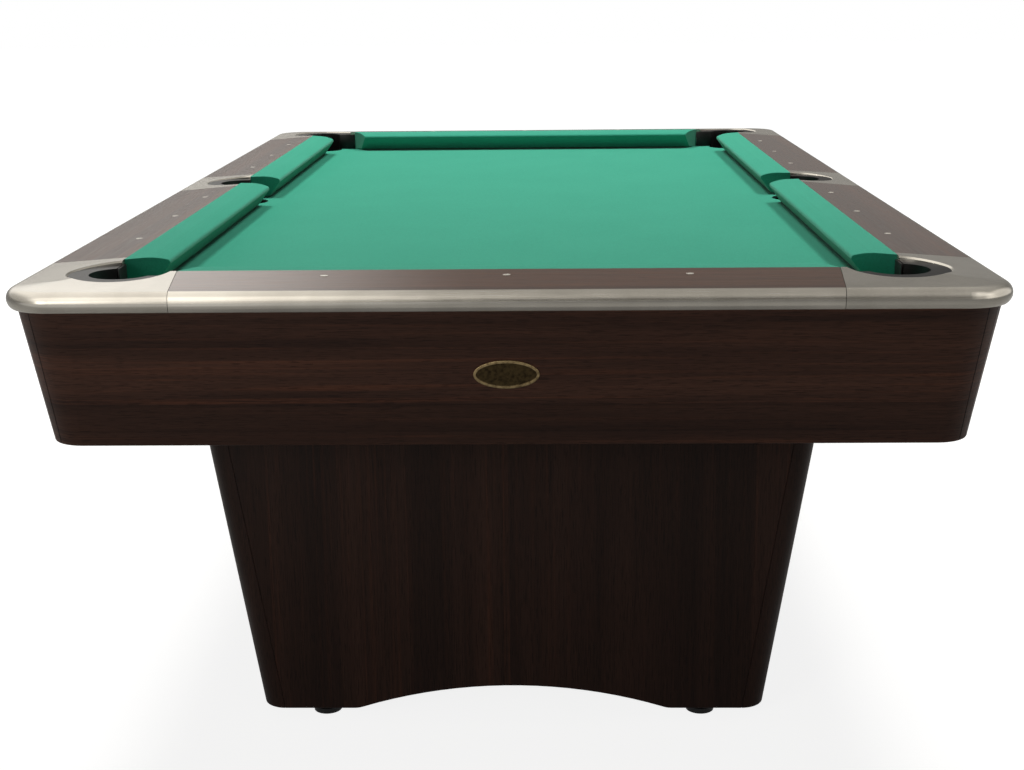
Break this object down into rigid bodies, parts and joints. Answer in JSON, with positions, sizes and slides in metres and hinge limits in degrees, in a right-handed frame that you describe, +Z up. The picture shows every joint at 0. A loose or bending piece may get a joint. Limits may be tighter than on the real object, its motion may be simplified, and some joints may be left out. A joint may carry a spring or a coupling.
{
  "type": "pool table",
  "caption": "Drop-pocket pool table: slate bed under green cloth, cushioned rails with metal corner castings, tapered wood apron, two pedestals on levelling feet.",
  "frame": {"origin": "on the floor under the middle of the table", "axes": "+X to the right across the table, +Y along the length towards the rear end, +Z up"},
  "size_m": [1.5246, 2.6446, 0.8],
  "materials": {
    "slate": "honed slate",
    "billiard_cloth": "worsted wool cloth, green",
    "cushion_rubber": "gum rubber profile under the cloth",
    "rail_wood": "dark walnut laminate, semi-gloss",
    "apron_wood": "dark walnut laminate, satin, grain along the board",
    "pedestal_wood": "dark walnut laminate, satin, upright grain",
    "frame_wood": "raw softwood and plywood",
    "satin_metal": "satin nickel-plated casting and extrusion",
    "pocket_rubber": "moulded, dark grey",
    "sight_pearl": "pearl inlay",
    "foot_plastic": "moulded pad on a threaded steel stud"
  },
  "bodies": {
    "table": {"apron_corner_brackets": "frame_wood", "apron_front": "apron_wood", "apron_left": "apron_wood", "apron_rear": "apron_wood", "apron_right": "apron_wood", "bed_cloth": "billiard_cloth", "corner_casting_front_left": "satin_metal", "corner_casting_front_right": "satin_metal", "corner_casting_rear_left": "satin_metal", "corner_casting_rear_right": "satin_metal", "corner_pocket_front_left": "pocket_rubber", "corner_pocket_front_right": "pocket_rubber", "corner_pocket_rear_left": "pocket_rubber", "corner_pocket_rear_right": "pocket_rubber", "cross_beams": "frame_wood", "cushion_cloth": "billiard_cloth", "cushion_front": "cushion_rubber", "cushion_left_front": "cushion_rubber", "cushion_left_rear": "cushion_rubber", "cushion_rear": "cushion_rubber", "cushion_right_front": "cushion_rubber", "cushion_right_rear": "cushion_rubber", "end_trims": "satin_metal", "foot_blocks": "frame_wood", "front_pedestal_inner_panel": "pedestal_wood", "front_pedestal_left_side": "pedestal_wood", "front_pedestal_outer_panel": "pedestal_wood", "front_pedestal_right_side": "pedestal_wood", "front_pedestal_top": "frame_wood", "long_beam_left": "frame_wood", "long_beam_right": "frame_wood", "rail_front": "rail_wood", "rail_left_front": "rail_wood", "rail_left_rear": "rail_wood", "rail_rear": "rail_wood", "rail_right_front": "rail_wood", "rail_right_rear": "rail_wood", "rear_pedestal_inner_panel": "pedestal_wood", "rear_pedestal_left_side": "pedestal_wood", "rear_pedestal_outer_panel": "pedestal_wood", "rear_pedestal_right_side": "pedestal_wood", "rear_pedestal_top": "frame_wood", "side_casting_left": "satin_metal", "side_casting_right": "satin_metal", "side_pocket_left": "pocket_rubber", "side_pocket_right": "pocket_rubber", "side_trims": "satin_metal", "sights": "sight_pearl", "slate_front": "slate", "slate_middle": "slate", "slate_rear": "slate"},
    "foot_front_inner_left": {"foot_front_inner_left": "foot_plastic"},
    "foot_front_inner_right": {"foot_front_inner_right": "foot_plastic"},
    "foot_front_outer_left": {"foot_front_outer_left": "foot_plastic"},
    "foot_front_outer_right": {"foot_front_outer_right": "foot_plastic"},
    "foot_rear_inner_left": {"foot_rear_inner_left": "foot_plastic"},
    "foot_rear_inner_right": {"foot_rear_inner_right": "foot_plastic"},
    "foot_rear_outer_left": {"foot_rear_outer_left": "foot_plastic"},
    "foot_rear_outer_right": {"foot_rear_outer_right": "foot_plastic"}
  },
  "joints": [
    {"name": "level_front_inner_left", "type": "slide", "parent": "table", "child": "foot_front_inner_left", "axis": [0, 0, 1], "range_m": [-0.02, 0.008]},
    {"name": "level_front_inner_right", "type": "slide", "parent": "table", "child": "foot_front_inner_right", "axis": [0, 0, 1], "range_m": [-0.02, 0.008]},
    {"name": "level_front_outer_left", "type": "slide", "parent": "table", "child": "foot_front_outer_left", "axis": [0, 0, 1], "range_m": [-0.02, 0.008]},
    {"name": "level_front_outer_right", "type": "slide", "parent": "table", "child": "foot_front_outer_right", "axis": [0, 0, 1], "range_m": [-0.02, 0.008]},
    {"name": "level_rear_inner_left", "type": "slide", "parent": "table", "child": "foot_rear_inner_left", "axis": [0, 0, 1], "range_m": [-0.02, 0.008]},
    {"name": "level_rear_inner_right", "type": "slide", "parent": "table", "child": "foot_rear_inner_right", "axis": [0, 0, 1], "range_m": [-0.02, 0.008]},
    {"name": "level_rear_outer_left", "type": "slide", "parent": "table", "child": "foot_rear_outer_left", "axis": [0, 0, 1], "range_m": [-0.02, 0.008]},
    {"name": "level_rear_outer_right", "type": "slide", "parent": "table", "child": "foot_rear_outer_right", "axis": [0, 0, 1], "range_m": [-0.02, 0.008]}
  ]
}
